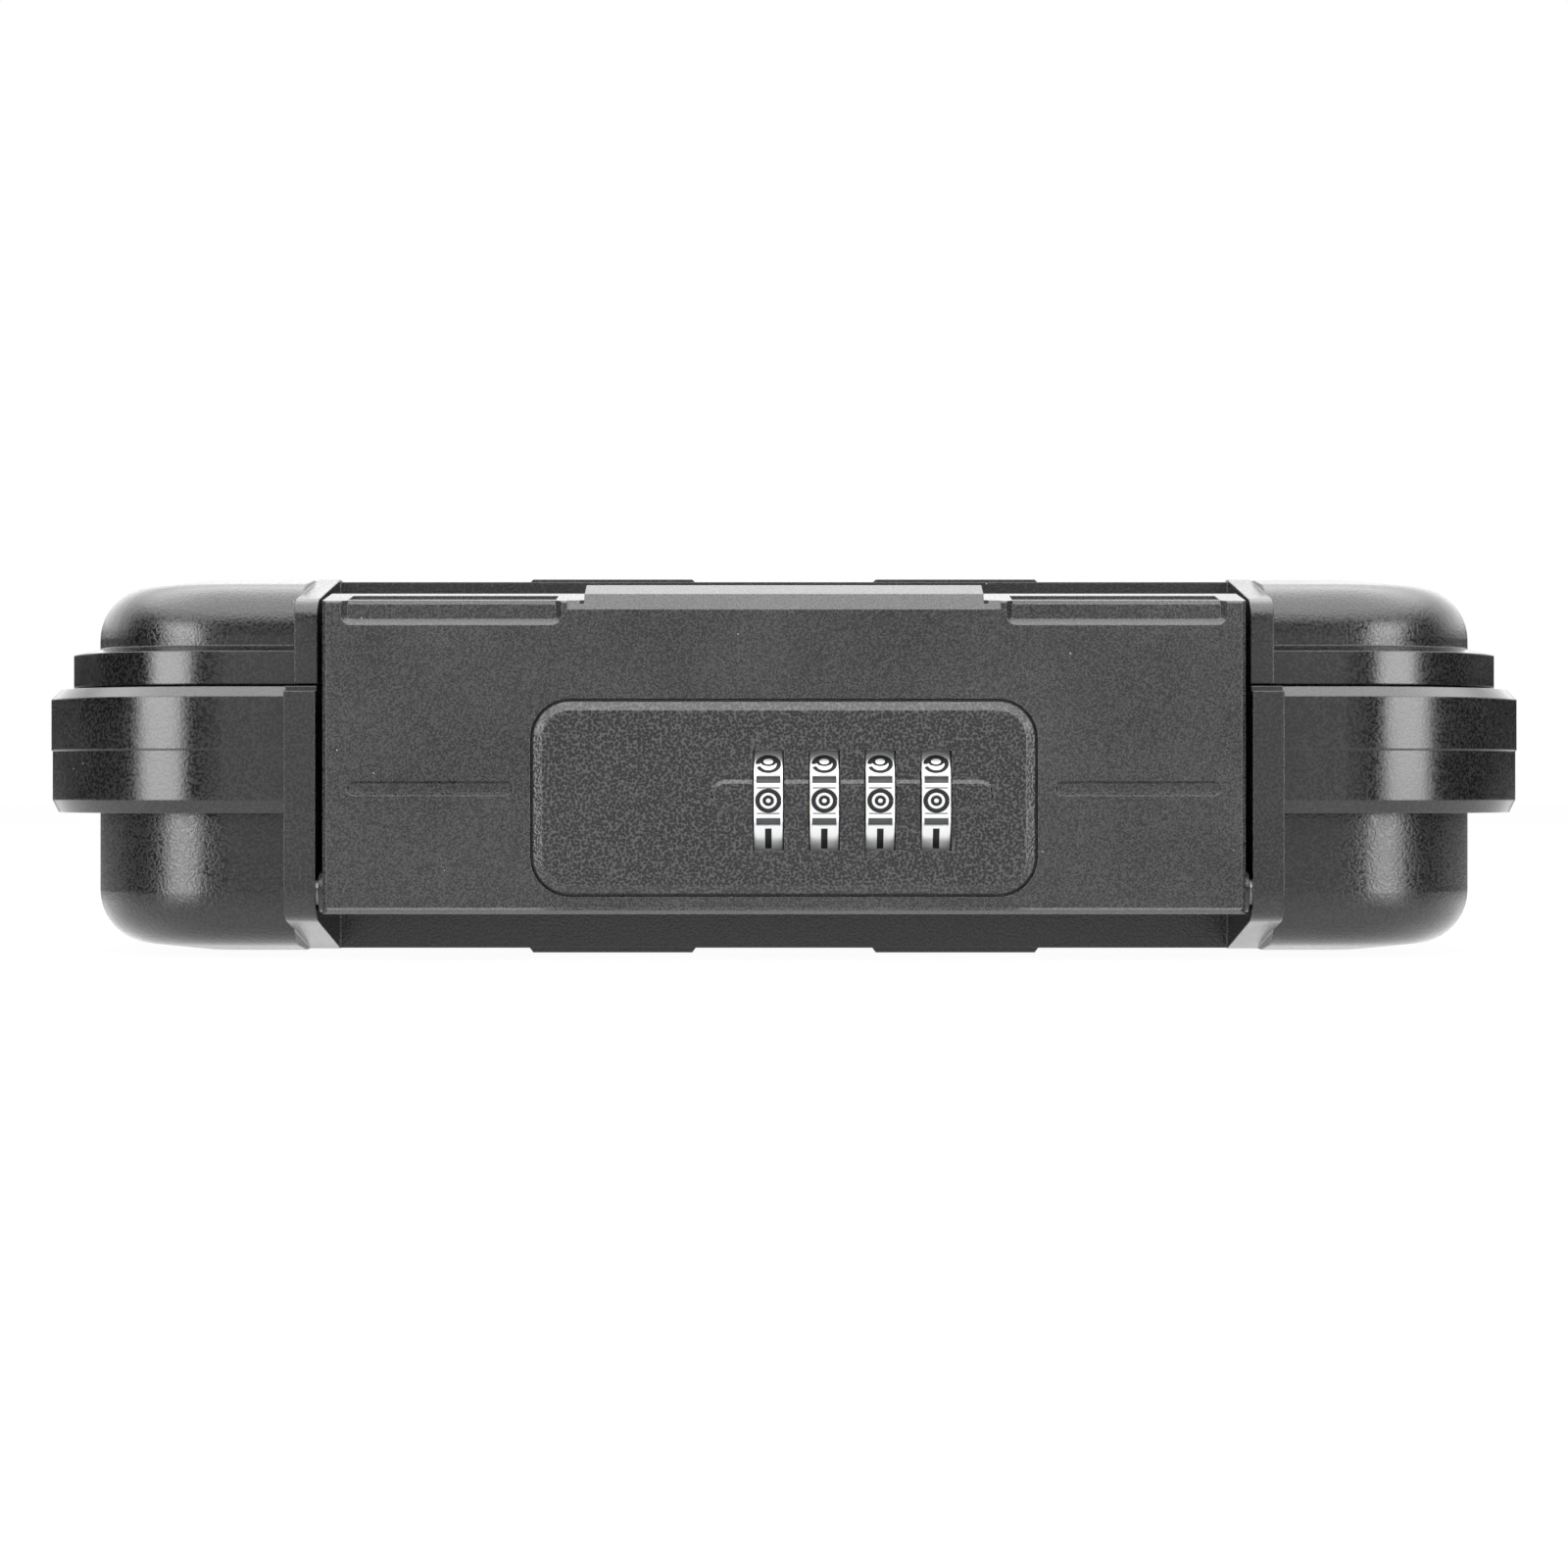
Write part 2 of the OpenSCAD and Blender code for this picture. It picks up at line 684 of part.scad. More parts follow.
module liner(z, up) {
  h = edge_r + edge_run;
  r = body_r - wall - liner_gap;
  in = body_in + wall + liner_gap;
  difference() {
    translate([0, rim_mid, z]) mirror([0, 0, up ? 0 : 1]) translate([0, 0, -h]) {
      round_sweep(case_w - 2*in, rim_d - 2*in, r) liner_section(r, liner_t);
      middle_slab(case_w - 2*in, rim_d - 2*in, r, h - liner_t, h);
    }
    bay_space(cheek_t + liner_gap, wall + liner_gap, -over, case_h + over);
  }
}

module base_liner() color(foam) liner(base_z + wall, false);
module lid_liner() color(foam) liner(lid_top - wall, true);

// Pins

hinge_half = lid_knuckle_w/2 + knuckle_gap + base_knuckle_w;
module hinge_pin(s)
  color(steel) rod_x(s*hinge_x - hinge_half, s*hinge_x + hinge_half, hinge_pin_r, hinge_y, hinge_z);
module hinge_pin_left() hinge_pin(-1);
module hinge_pin_right() hinge_pin(1);

module latch_pin_right() color(steel)
  rod_x(latch_w/2 - pivot_boss_w + over, bay_w/2 + cheek_t, pivot_r, at(pivot_d), pivot_z);
module latch_pin_left() mirror([1, 0, 0]) latch_pin_right();

// Keeper on the bay wall

module keeper_plate() color(steel) {
  t = keeper_t;
  back = bay_d - t;
  difference() {
    span([-keeper_screw_x[1] - 6, at(back), strip_top - strip_h],
      [keeper_screw_x[1] + 6, wall_y, strip_top]);
    for (s = [-1, 1], x = keeper_screw_x)
      rod_y(screw_r + press, back - over, bay_d + over, s*x, strip_top - keeper_screw_down);
  }
  for (s = [-1, 1])
    difference() {
      slice_x(s*keeper_x, t)
        polygon([[at(back + touch), strip_top - strip_h/2], [at(back + touch), lug_top],
          [at(keeper_d + t), lug_top], [at(keeper_d), lug_top - t],
          [at(keeper_d), lug_foot], [at(hole_d[1] + t), lug_foot],
          [at(back - t), strip_top - strip_h/2]]);
      span([s*keeper_x - t, at(hole_d[0]), bolt_z - bolt_h/2 - bolt_gap],
        [s*keeper_x + t, at(hole_d[1]), bolt_z + bolt_h/2 + bolt_gap]);
    }
}

module keeper_screws() color(steel)
  for (s = [-1, 1], x = keeper_screw_x) {
    z = strip_top - keeper_screw_down;
    difference() {
      rod_y(screw_head_r, bay_d - keeper_t - screw_head_t, bay_d - keeper_t, s*x, z);
      translate([s*x, at(bay_d - keeper_t - screw_head_t), z]) rotate([90, 0, 0])
        cylinder(h = screw_head_t, r = screw_r, $fn = 6, center = true);
    }
    rod_y(screw_r - press, bay_d - keeper_t - touch, bay_d + wall + keeper_screw_l, s*x, z);
  }

// Latch

module latch_outline() {
  polygon([
    [at(0), latch_z + latch_cut + lip_proud], [at(-lip_proud), latch_z + latch_cut],
    [at(latch_cut), latch_z], [at(latch_t), latch_z],
    [at(latch_t), roof_z], [at(shoulder_d), roof_z], [at(shoulder_d), shoulder_z],
    [at(brow_cut), face_edge_z + brow_cut*tan(shoulder_angle)],
    [at(0), face_edge_z - brow_cut]
  ]);
}

// The tab, with a chamfer in front and a fine groove between chamfer and top
module tab_outline() {
  lip = tab_low + tab_lip;
  near = tab_lip_d + tab_groove;
  polygon([
    [at(plate_t), tab_low - skirt_t], [at(0), tab_low], [at(tab_lip_d), lip],
    [at(tab_lip_d), lip - tab_groove], [at(near), lip - tab_groove], [at(near), lip],
    [at(near + tab_ramp), tab_z], [at(tab_end), tab_z], [at(tab_end), tab_z - skirt_t + latch_cut],
    [at(latch_t - skirt_t), roof_z - touch], [at(plate_t), roof_z - skirt_t]
  ]);
}

// What the tab's chamfer takes from the plate and the shoulder
module tab_relief() {
  polygon([
    [at(-over), tab_low], [at(0), tab_low], [at(tab_lip_d), tab_low + tab_lip],
    [at(tab_lip_d), case_h], [at(-over), case_h]
  ]);
}

// Plan of the latch, its front corners chamfered
module latch_plan() {
  polygon([
    [-latch_w/2 + latch_cut, at(0)], [-latch_w/2 + latch_cut + lip_proud, at(-lip_proud)],
    [latch_w/2 - latch_cut - lip_proud, at(-lip_proud)], [latch_w/2 - latch_cut, at(0)],
    [latch_w/2, at(latch_cut)], [latch_w/2, at(bay_d)], [-latch_w/2, at(bay_d)],
    [-latch_w/2, at(latch_cut)]
  ]);
}

// One grip pocket, open towards the top, with a chamfered floor edge
module grip(s) {
  translate([s*grip_x, at(-over), face_edge_z]) mirror([0, 1, 0])
    bevelled_plate(grip_w, 2*grip_h, grip_r, grip_d + over, grip_border, grip_d);
  slice_x(s*grip_x, grip_w - 2*grip_border)
    polygon([[at(grip_d - touch), face_edge_z - grip_brow],
      [at(grip_d), face_edge_z - grip_brow], [at(grip_d + 1.5*grip_brow), face_edge_z + over],
      [at(grip_d - touch), face_edge_z + over]]);
  // Finger recess behind the lip
  slice_x(s*grip_x, grip_w - 2*grip_border)
    polygon([[at(grip_d + pull_lip), face_edge_z - pull_drop],
      [at(grip_d + pull_lip + pull_d), face_edge_z - pull_drop],
      [at(grip_d + pull_lip + pull_d + pull_slope), case_h],
      [at(grip_d + pull_lip), case_h]]);
}

// One long bead: a shallow groove with round ends and sloping sides
module bead(s) {
  translate([s*bead_x, at(-over), dial_z + bead_up]) mirror([0, 1, 0])
    bevelled_plate(bead_l + 2*bead_r, 2*bead_r, bead_r - touch, bead_d + over, bead_bevel,
      bead_d);
}

module latch_cover() color(charcoal) {
  lens = face_h/2 + face_gap;
  difference() {
    union() {
      difference() {
        intersection() {
          union() {
            difference() {
              slice_x(0, latch_w) latch_outline();
              slice_x(0, tab_w + 2*tab_margin) tab_relief();
            }
            slice_x(0, tab_w) tab_outline();
          }
          translate([0, 0, -over]) linear_extrude(case_h + 2*over) latch_plan();
        }
        span([-latch_w/2 + skirt_t, at(plate_t), latch_z + skirt_t],
          [latch_w/2 - skirt_t, at(latch_t + over), roof_z - skirt_t]);
      }
      // Backing of the lock face
      span([-face_w/2 - skirt_t, at(plate_t - touch), face_z - lens - skirt_t/2],
        [face_w/2 + skirt_t, at(face_seat + backing_t), face_z + lens + skirt_t/2]);
      // Bosses: pivots, rear cover, chassis, code button
      both_sides()
        rod_x(latch_w/2 - pivot_boss_w, bay_w/2 - fin_gap, pivot_boss_r, at(pivot_d), pivot_z);
      for (s = [-1, 1], z = back_screw_z)
        rod_y(back_boss_r, plate_t - touch, latch_t, s*back_screw_x, z);
      for (p = chassis_screw_places)
        rod_y(chassis_boss_r, plate_t - touch, ear_d, p[0], p[1]);
      rod_y(collar_r + 0.8, plate_t - touch, button_seat, button_x, button_z);
    }
    // Seat of the lock face
    translate([0, at(face_seat), face_z])
      bevelled_plate(face_w + 2*face_gap, 2*lens, face_r + face_gap, face_seat + over, 0, 0);
    // Opening for dials and gate discs
    span([dial_x(1) - dial_w, -case_d, dial_z - opening_half],
      [dial_x(dial_n) + gate_x + gate_t + fin_gap, at(face_seat + backing_t + over),
        dial_z + opening_half]);
    for (s = [-1, 1]) {
      grip(s);
      bead(s);
    }
    // Slits beside the tab
    for (s = [-1, 1])
      span([s*(tab_w + tab_slit)/2 - tab_slit/2, at(-over), face_edge_z - tab_groove],
        [s*(tab_w + tab_slit)/2 + tab_slit/2, at(2*tab_slit), tab_z + over]);
    both_sides()
      rod_x(latch_w/2 - pivot_boss_w + over - touch, bay_w/2 + over, pivot_r + running,
        at(pivot_d), pivot_z);
    for (s = [-1, 1], z = back_screw_z)
      rod_y(screw_r, latch_t - back_screw_l - back_screw_room, latch_t + over, s*back_screw_x, z);
    for (p = chassis_screw_places)
      rod_y(screw_r, ear_d - chassis_screw_l - chassis_screw_room, ear_d + over, p[0], p[1]);
    rod_y(button_r + running, button_seat - button_stem - button_travel - over, button_seat + over,
      button_x, button_z);
    for (s = [-1, 1], t = [-1, 1])
      rod_y(post_r + press, face_seat - over, face_seat + backing_t + over,
        s*post_x, face_z + t*post_z);
  }
}

opening_half = 10.4;
pull_slope = 0.4;
post_r = 1.2;
post_x = face_w/2 - 6;
post_z = face_h/2 - 4;
button_seat = 19.5;
button_stem = 3.5;
collar_t = 2 - fin_gap;
chassis_screw_places = [for (x = [chassis_left - chassis_side_t - ear_inset,
  chassis_right + chassis_side_t + ear_w - ear_inset + 1], t = [-1, 1]) [x, dial_z + t*ear_screw_z]];

module latch_back() color(dark) {
  difference() {
    span([-latch_w/2, at(latch_t), latch_z], [latch_w/2, at(cover_back), roof_z]);
    for (s = [-1, 1])
      span([s*keeper_x - keeper_t/2 - slot_gap, at(latch_t - over),
          strip_top - strip_h/2 - slot_gap],
        [s*keeper_x + keeper_t/2 + slot_gap, at(cover_back + over), lug_top + slot_gap]);
    for (s = [-1, 1], z = back_screw_z) {
      rod_y(screw_r + press, latch_t - over, cover_back + over, s*back_screw_x, z);
      rod_y(screw_head_r + press, cover_back - screw_head_t, cover_back + over,
        s*back_screw_x, z);
    }
    rod_y(button_r + running, latch_t - over, cover_back + over, button_x, button_z);
  }
  // Studs that guide the lock bar
  for (x = stud_x) rod_y(stud_r, bar_d - 0.5, latch_t + touch, x, stud_z);
}

module back_screws() color(steel)
  for (s = [-1, 1], z = back_screw_z) {
    difference() {
      rod_y(screw_head_r, cover_back - screw_head_t, cover_back, s*back_screw_x, z);
      translate([s*back_screw_x, at(cover_back), z]) rotate([90, 0, 0])
        cylinder(h = screw_head_t, r = screw_r, $fn = 6, center = true);
    }
    rod_y(screw_r - press, latch_t - back_screw_l, cover_back - screw_head_t + touch, s*back_screw_x, z);
  }

// Lock

// A window, wider at the rear for the corners of the turning dial
module window_outline() {
  near = window_h/2;
  far = sqrt(pow(dial_corner + fin_gap, 2) - pow(dial_d - face_seat, 2));
  polygon([
    [at(-face_proud - over), dial_z - near], [at(window_lip - face_proud), dial_z - near],
    [at(face_seat), dial_z - far], [at(face_seat + over), dial_z - far],
    [at(face_seat + over), dial_z + far], [at(face_seat), dial_z + far],
    [at(window_lip - face_proud), dial_z + near], [at(-face_proud - over), dial_z + near]
  ]);
}

module lock_face() color(dark) {
  difference() {
    union() {
      translate([0, at(face_seat), face_z])
        bevelled_plate(face_w, face_h, face_r, face_seat + face_proud, face_bevel, face_proud);
      translate([dial_x(1) + 1.5*dial_pitch, at(-face_proud + touch), dial_z + ridge_up])
        bevelled_plate(ridge_w, ridge_h, ridge_h/2 - touch, ridge_proud + touch, ridge_bevel,
          ridge_proud);
      for (s = [-1, 1], t = [-1, 1])
        rod_y(post_r, face_seat - touch, face_seat + backing_t, s*post_x, face_z + t*post_z);
    }
    for (i = [1:dial_n]) slice_x(dial_x(i), dial_w + 2*window_gap) window_outline();
    // Room for the gate discs
    rod_x(dial_x(1), dial_x(dial_n) + gate_x + gate_t + fin_gap, gate_r + fin_gap,
      at(dial_d), dial_z);
  }
}

module lock_chassis() color(steel) {
  left = chassis_left - chassis_side_t;
  right = chassis_right + chassis_side_t;
  front = face_seat + backing_t + 0.1;
  half = chassis_half + chassis_t;
  difference() {
    union() {
      difference() {
        span([left, at(front), dial_z - half], [right, at(chassis_d), dial_z + half]);
        span([chassis_left, at(front - over), dial_z - chassis_half],
          [chassis_right, at(chassis_d + over), dial_z + chassis_half]);
      }
      for (x = [left - ear_w + touch, right - touch])
        span([x, at(ear_d), dial_z - half], [x + ear_w, at(ear_d + ear_t), dial_z + half]);
    }
    rod_x(left - over, right + over, shaft_r + press, at(dial_d), dial_z);
    // Room for the clips on the shaft's ends
    rod_x(left - 2, left, clip_r + fin_gap, at(dial_d), dial_z);
    rod_x(right, right + 2, clip_r + fin_gap, at(dial_d), dial_z);
    for (p = chassis_screw_places)
      rod_y(screw_r + press, ear_d - over, ear_d + ear_t + over, p[0], p[1]);
  }
}

module chassis_screws() color(steel)
  for (p = chassis_screw_places) {
    difference() {
      rod_y(screw_head_r, ear_d + ear_t, ear_d + ear_t + screw_head_t, p[0], p[1]);
      translate([p[0], at(ear_d + ear_t + screw_head_t), p[1]]) rotate([90, 0, 0])
        cylinder(h = screw_head_t, r = screw_r, $fn = 6, center = true);
    }
    rod_y(screw_r - press, ear_d - chassis_screw_l, ear_d + ear_t + touch, p[0], p[1]);
  }

module dial_shaft() color(steel)
  rod_x(chassis_left - chassis_side_t - 2*clip_t, chassis_right + chassis_side_t + 2*clip_t,
    shaft_r, at(dial_d), dial_z);

module shaft_clips() color(steel)
  for (x = [chassis_left - chassis_side_t - clip_t, chassis_right + chassis_side_t])
    difference() {
      rod_x(x, x + clip_t, clip_r, at(dial_d), dial_z);
      rod_x(x - over, x + clip_t + over, shaft_r + press, at(dial_d), dial_z);
      span([x - over, at(dial_d) - shaft_r*0.7, dial_z - 2*shaft_r],
        [x + clip_t + over, at(dial_d) + shaft_r*0.7, dial_z]);
    }

module dial(i) color(chrome) {
  x = dial_x(i) - dial_w/2;
  difference() {
    translate([x, at(dial_d), dial_z]) rotate([0, 90, 0])
      cylinder(h = dial_w, r = dial_corner, $fn = 10);
    rod_x(x - over, x + dial_w + over, sleeve_r + press, at(dial_d), dial_z);
    for (k = [0:9])
      translate([x + groove_rim, at(dial_d), dial_z]) rotate([18 + 36*k, 0, 0])
        translate([0, dial_corner - groove_d, -groove_w/2])
          cube([dial_w - 2*groove_rim, 2*groove_d, groove_w]);
  }
}
module dial_1() dial(1);
module dial_2() dial(2);
module dial_3() dial(3);
module dial_4() dial(4);

// A hub's sleeve carries its dial, and its disc has the gate that a fin passes
module dial_hub(i) color(brass) {
  x = dial_x(i);
  difference() {
    union() {
      rod_x(x - hub_left, x + gate_x + touch, sleeve_r, at(dial_d), dial_z);
      rod_x(x + gate_x, x + gate_x + gate_t, gate_r, at(dial_d), dial_z);
    }
    rod_x(x - dial_pitch, x + dial_pitch, shaft_r + running, at(dial_d), dial_z);
    span([x + gate_x - over, at(dial_d + gate_r - gate_bite - fin_gap),
        dial_z - fin_h/2 - fin_gap],
      [x + gate_x + gate_t + over, at(dial_d + gate_r + over), dial_z + fin_h/2 + fin_gap]);
  }
}
module dial_hub_1() dial_hub(1);
module dial_hub_2() dial_hub(2);
module dial_hub_3() dial_hub(3);
module dial_hub_4() dial_hub(4);

module detent_comb() color(steel) {
  floor_z = dial_z - chassis_half;
  nose = dial_z - tip_r - fin_gap;
  span([chassis_left, at(chassis_d - 4), floor_z],
    [chassis_right, at(chassis_d - 0.5), floor_z + comb_t]);
  for (i = [1:dial_n])
    slice_x(dial_x(i), dial_w - 1.4)
      polygon([[at(chassis_d - 3.5), floor_z], [at(chassis_d - 3.5), floor_z + comb_t],
        [at(dial_d + 3.5), floor_z + comb_t], [at(dial_d + 0.6), nose],
        [at(dial_d - 0.6), nose], [at(dial_d - 0.6), nose - comb_t],
        [at(dial_d + 0.6), nose - comb_t], [at(dial_d + 3.5), floor_z]]);
}

module lock_bar() color(steel) {
  tip = keeper_x + keeper_t/2 + bolt_free;
  back = at(bar_d + bar_t);
  left = -keeper_x + keeper_t/2 + bolt_free;
  difference() {
    union() {
      span([left + bolt_l, at(bar_d), beam_low], [tip + bolt_l + arm_w, back, beam_high]);
      for (x = [left, tip]) {
        span([x + bolt_l, at(bar_d), beam_high - touch],
          [x + bolt_l + arm_w, back, bolt_z + bolt_h/2]);
        span([x, at(bar_d), bolt_z - bolt_h/2],
          [x + bolt_l + touch, back, bolt_z + bolt_h/2]);
      }
      for (i = [1:dial_n]) {
        x = dial_x(i) + gate_x + gate_t + fin_gap;
        span([x, at(dial_d + gate_r - gate_bite), dial_z - fin_h/2],
          [x + fin_t, at(bar_d + touch), dial_z + fin_h/2]);
      }
    }
    // Slots that run on the rear cover's studs
    for (x = stud_x) {
      for (e = [0, bar_travel])
        rod_y(stud_r + 0.1, bar_d - over, bar_d + bar_t + over, x + e, stud_z);
      span([x, at(bar_d - over), stud_z - stud_r - 0.1],
        [x + bar_travel, back + over, stud_z + stud_r + 0.1]);
    }
  }
}

// Return spring of the lock bar, between the bar's end and the latch's side
module bar_spring() color(steel) {
  a = keeper_x + keeper_t/2 + bolt_free + bolt_l + arm_w;
  y = at(bar_d + bar_t/2);
  z = dial_z + 5;
  difference() {
    rod_x(a, latch_w/2 - skirt_t, spring_r, y, z);
    rod_x(a - over, latch_w/2, spring_bore, y, z);
  }
}

module code_button() color(dark) {
  rod_y(button_r, button_seat - button_stem, cover_back + button_proud, button_x, button_z);
  rod_y(collar_r, latch_t - fin_gap - collar_t, latch_t - fin_gap, button_x, button_z);
}

module button_spring() color(steel)
  difference() {
    rod_y(collar_r - spring_gap, button_seat,
      latch_t - fin_gap - collar_t - button_travel - touch, button_x, button_z);
    rod_y(button_r + spring_gap, button_seat - over, latch_t, button_x, button_z);
  }

base_shell();
base_liner();
keeper_plate();
keeper_screws();
hinge_pin_left();
hinge_pin_right();
latch_pin_left();
latch_pin_right();
lid_shell();
lid_gasket();
lid_liner();
latch_cover();
latch_back();
back_screws();
lock_face();
lock_chassis();
chassis_screws();
dial_shaft();
shaft_clips();
detent_comb();
lock_bar();
bar_spring();
code_button();
button_spring();
dial_1();
dial_2();
dial_3();
dial_4();
dial_hub_1();
dial_hub_2();
dial_hub_3();
dial_hub_4();
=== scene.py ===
import math

import bmesh
import bpy
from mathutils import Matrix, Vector


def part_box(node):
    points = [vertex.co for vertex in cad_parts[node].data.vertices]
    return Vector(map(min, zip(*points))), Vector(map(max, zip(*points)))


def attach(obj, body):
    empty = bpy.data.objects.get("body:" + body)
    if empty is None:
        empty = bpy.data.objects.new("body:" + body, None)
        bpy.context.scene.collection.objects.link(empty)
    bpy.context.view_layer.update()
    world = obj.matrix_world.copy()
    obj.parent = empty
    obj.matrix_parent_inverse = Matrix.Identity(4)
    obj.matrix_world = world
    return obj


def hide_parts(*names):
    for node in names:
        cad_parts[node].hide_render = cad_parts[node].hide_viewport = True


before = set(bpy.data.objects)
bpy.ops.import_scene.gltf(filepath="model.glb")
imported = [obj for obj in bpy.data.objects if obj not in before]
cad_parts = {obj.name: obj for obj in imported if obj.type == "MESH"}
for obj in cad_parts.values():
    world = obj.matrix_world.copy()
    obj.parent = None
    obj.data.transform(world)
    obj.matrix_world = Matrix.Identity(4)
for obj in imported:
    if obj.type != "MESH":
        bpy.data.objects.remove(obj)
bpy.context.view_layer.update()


# The two shells are injection-moulded charcoal ABS with a fine satin grain.
# The base has a hanging rim, cheeks beside the latch and lugs for the hinge;
# the lid has the same cheeks and a flat flange. Both have low pads outside.

MM = 0.001
CLOUD_SIZE = 22*MM
DUST_PITCH = 5*MM
DUST_PATCH = 25*MM
SPECK_REACH = 0.028
RIM_LOW, RIM_HIGH = 22.9*MM, 48.9*MM
RIM_ROUGH = 0.17


class Term:
    """A socket of a shader or geometry tree. Sums on it add Math nodes."""

    def __init__(self, tree, socket):
        self.tree = tree
        self.socket = socket

    def math(self, operation, *values):
        node = self.tree.nodes.new("ShaderNodeMath")
        node.operation = operation
        for socket, value in zip(node.inputs, values):
            plug(self.tree, socket, value)
        return Term(self.tree, node.outputs[0])

    def __add__(self, other):
        return self.math("ADD", self, other)

    def __sub__(self, other):
        return self.math("SUBTRACT", self, other)

    def __rsub__(self, other):
        return self.math("SUBTRACT", other, self)

    def __mul__(self, other):
        return self.math("MULTIPLY", self, other)

    def __pow__(self, other):
        return self.math("POWER", self, other)

    def __gt__(self, other):
        return self.math("GREATER_THAN", self, other)

    def __lt__(self, other):
        return self.math("LESS_THAN", self, other)

    __radd__ = __add__
    __rmul__ = __mul__


def plug(tree, socket, value):
    if isinstance(value, Term):
        tree.links.new(value.socket, socket)
    else:
        socket.default_value = value


class Builder:
    """Adds nodes to a tree: settings first, then the values or links of its sockets."""

    def __init__(self, tree):
        self.tree = tree

    def node(self, kind, inputs=None, out=0, **settings):
        node = self.tree.nodes.new(kind)
        for name, value in settings.items():
            setattr(node, name, value)
        for name, value in (inputs or {}).items():
            plug(self.tree, node.inputs[name], value)
        return Term(self.tree, node.outputs[out])

    def coordinate(self, vector, letter):
        """One coordinate of a vector."""
        return self.node("ShaderNodeSeparateXYZ", {"Vector": vector}, out=letter)

    def ray(self, kind):
        """1 for rays of that kind, such as Is Camera Ray."""
        return self.node("ShaderNodeLightPath", out=kind)


class Finish(Builder):
    """A material, with its pattern on Object coordinates."""

    def __init__(self, name):
        self.material = bpy.data.materials.new(name)
        self.material.use_nodes = True
        Builder.__init__(self, self.material.node_tree)
        self.tree.nodes.clear()
        self.place = self.node("ShaderNodeTexCoord", out="Object")

    def noise(self, size, detail=2.0, rough=0.5, stretch=None):
        """Noise whose features measure about size metres."""
        place = self.place
        if stretch:
            place = self.node("ShaderNodeMapping", {"Vector": place, "Scale": stretch})
        return self.node("ShaderNodeTexNoise", {
            "Vector": place, "Scale": 1/size, "Detail": detail, "Roughness": rough})

    def cells(self, size, out="Distance"):
        """Irregular cells of about size metres."""
        return self.node("ShaderNodeTexVoronoi", {"Vector": self.place, "Scale": 1/size},
            out=out)

    def spread(self, value, low, high):
        """Stretches the part of a value between low and high to the full range."""
        return self.node("ShaderNodeMapRange", {"Value": value, "From Min": low,
            "From Max": high, "To Min": 0.0, "To Max": 1.0})

    def blend(self, amount, first, second):
        """From the first colour to the second as amount goes from 0 to 1."""
        first, second = (c if isinstance(c, Term) else (*c, 1) for c in (first, second))
        return self.node("ShaderNodeMix", {0: amount, 6: first, 7: second}, out=2,
            data_type="RGBA")

    def soft_edges(self, radius):
        """A normal that rounds the moulding's sharp edges by that radius."""
        return self.node("ShaderNodeBevel", {"Radius": radius}, samples=6)

    def bump(self, height, strength, distance, normal):
        return self.node("ShaderNodeBump", {
            "Strength": strength, "Distance": distance, "Height": height, "Normal": normal})

    def done(self, shader):
        end = self.tree.nodes.new("ShaderNodeOutputMaterial")
        plug(self.tree, end.inputs["Surface"], shader)
        return self.material

    def surface(self, **sockets):
        """The material, made of one Principled surface."""
        names = {name.replace("_", " "): value for name, value in sockets.items()}
        return self.done(self.node("ShaderNodeBsdfPrincipled", names))


def grey(value):
    return (value, value, value)


def dusted(f, color):
    """Sparse pale specks of dust over a colour, in patches."""
    specks = f.cells(DUST_PITCH) < SPECK_REACH
    patchy = f.noise(DUST_PATCH, 2) > 0.47
    return f.blend(specks*patchy*0.75, color, grey(0.5))


def moulded(name, dark, light, grain, depth, rough, edge, satin=None):
    """Moulded plastic: an eroded grain, faint clouds of gloss and a little dust.
    satin is (low z, high z, roughness) of a band that is smoother than the rest."""
    f = Finish(name)
    fine = f.spread(f.noise(grain, 2, 0.5), 0.42, 0.58)
    cloud = f.spread(f.noise(CLOUD_SIZE, 2), 0.3, 0.7)
    tone = fine*0.75 + cloud*0.25
    gloss = rough + (cloud - 0.5)*0.08 + (fine - 0.5)*0.06
    if satin:
        low, high, smooth = satin
        z = f.coordinate(f.place, "Z")
        band = (z > low)*(z < high)
        gloss = gloss + band*(smooth - rough)
        fine = fine*(1 - band*0.75)
    normal = f.bump(fine, 0.55, depth, f.soft_edges(edge))
    return f.surface(Base_Color=dusted(f, f.blend(tone, dark, light)), Roughness=gloss,
        Normal=normal)


def paint(material, *nodes):
    """Gives CAD nodes their material."""
    for node in nodes:
        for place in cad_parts[node].material_slots:
            place.material = material


case_plastic = moulded("case plastic", dark=(0.005, 0.005, 0.0052),
    light=(0.034, 0.034, 0.035), grain=0.45*MM, depth=0.032*MM, rough=0.2, edge=0.35*MM,
    satin=(RIM_LOW, RIM_HIGH, RIM_ROUGH))
paint(case_plastic, "base_shell", "lid_shell")


# The liners are closed-cell foam sheets glued to the floor and under the lid.
# The floor's sheet is flat with rounded edges; the lid's is cut in soft waves
# that hold down what lies in the box.

FOAM_CELL = 0.9*MM
VOXEL = 1.5*MM
WAVE_PITCH = 18*MM
TRIM = 0.1*MM


def foam(name, dark, light):
    """Closed-cell foam: small open pores on the cut face."""
    f = Finish(name)
    walls = f.cells(FOAM_CELL)
    cloud = f.noise(7*MM, 3)
    color = f.blend(walls*0.6 + cloud*0.4, dark, light)
    normal = f.node("ShaderNodeBump", {"Strength": 0.6, "Distance": 0.2*MM, "Height": walls})
    return f.surface(Base_Color=color, Roughness=0.95, Normal=normal, Specular_IOR_Level=0.2)


